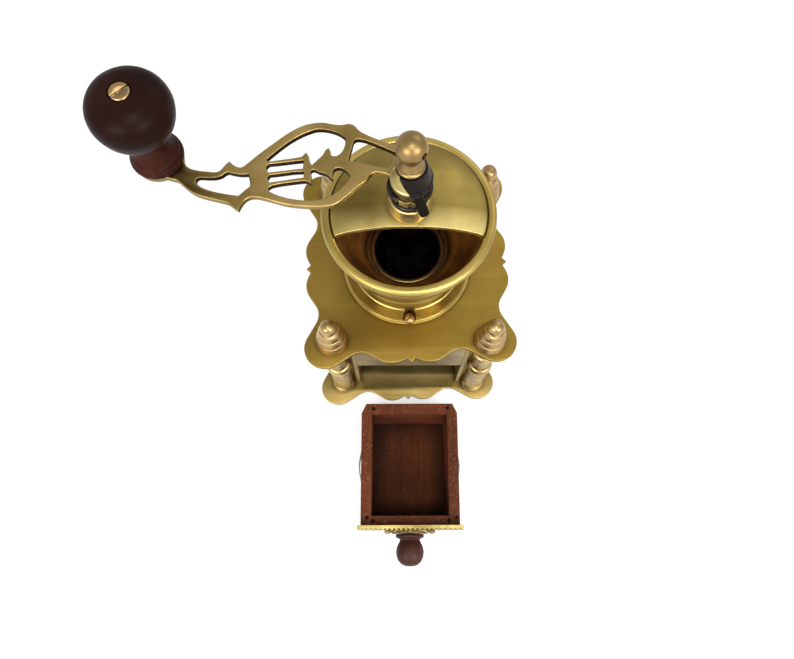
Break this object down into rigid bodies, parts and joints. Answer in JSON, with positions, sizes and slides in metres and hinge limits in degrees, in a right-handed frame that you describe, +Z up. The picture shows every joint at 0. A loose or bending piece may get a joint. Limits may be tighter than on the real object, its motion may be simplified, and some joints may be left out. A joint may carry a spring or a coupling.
{
  "type": "manual coffee grinder",
  "caption": "Box coffee mill with scalloped plates on turned columns, a cast hopper with half cover, an openwork crank arm with a wooden knob, conical burrs and a pull-out drawer.",
  "frame": {"origin": "under the middle of the bottom plate, on the surface that the mill stands on", "axes": "+Z up along the spindle, +Y to the back, away from the drawer, +X to the right of someone who faces the drawer"},
  "size_m": [0.1835, 0.2189, 0.2446],
  "materials": {
    "plate_brass": "satin brass, brushed and slightly tarnished, edges polished by wear",
    "turned_brass": "turned or cast brass with a pinkish bronze tone, softly polished",
    "box_brass": "pale dull sheet brass",
    "dark_steel": "dark oiled steel",
    "black_iron": "blackened cast iron",
    "dark_wood": "dark burgundy brown varnished hardwood",
    "red_wood": "reddish brown oiled hardwood"
  },
  "bodies": {
    "mill": {"bottom_plate": "plate_brass", "top_plate": "plate_brass", "column_front_left": "turned_brass", "column_front_right": "turned_brass", "column_rear_left": "turned_brass", "column_rear_right": "turned_brass", "finial_front_left": "turned_brass", "finial_front_right": "turned_brass", "finial_rear_left": "turned_brass", "finial_rear_right": "turned_brass", "foot_screw_front_left": "turned_brass", "foot_screw_front_right": "turned_brass", "foot_screw_rear_left": "turned_brass", "foot_screw_rear_right": "turned_brass", "box_side_left": "box_brass", "box_side_right": "box_brass", "box_rear": "box_brass", "box_front_panel": "box_brass", "hopper": "plate_brass", "hopper_screw_front": "turned_brass", "hopper_screw_rear_right": "turned_brass", "hopper_screw_rear_left": "turned_brass", "hopper_cover": "plate_brass", "bearing_boss": "plate_brass", "boss_ring_nut": "plate_brass", "spindle_bush": "dark_steel", "burr_ring": "black_iron", "burr_bridge": "black_iron", "bridge_screw_left": "dark_steel", "bridge_screw_right": "dark_steel"},
    "crank": {"spindle": "dark_steel", "burr_cone": "black_iron", "lock_plate": "dark_steel", "crank_arm": "turned_brass", "catch_finger": "black_iron", "ball_nut": "turned_brass", "knob_screw": "turned_brass"},
    "knob": {"crank_knob": "dark_wood"},
    "set_nut": {"grind_set_nut": "plate_brass"},
    "drawer": {"drawer_side_right": "red_wood", "drawer_side_left": "red_wood", "drawer_front_wall": "red_wood", "drawer_rear_wall": "red_wood", "drawer_floor": "red_wood", "drawer_front_plate": "turned_brass", "drawer_scroll": "turned_brass", "drawer_knob": "red_wood", "drawer_knob_screw": "dark_steel", "drawer_spring_right": "dark_steel", "drawer_spring_left": "dark_steel"}
  },
  "joints": [
    {"name": "crank_turn", "type": "hinge", "parent": "mill", "child": "crank", "pos_m": [0, 0, 0.1965], "axis": [0, 0, 1], "continuous": true},
    {"name": "knob_spin", "type": "hinge", "parent": "crank", "child": "knob", "pos_m": [-0.10768, 0.01056, 0.22], "axis": [0, 0, 1], "continuous": true},
    {"name": "grind_set", "type": "hinge", "parent": "crank", "child": "set_nut", "pos_m": [0, 0, 0.1877], "axis": [0, 0, 1], "range_deg": [-150, 150]},
    {"name": "drawer_slide", "type": "slide", "parent": "mill", "child": "drawer", "axis": [0, 1, 0], "range_m": [0, 0.0952]}
  ]
}
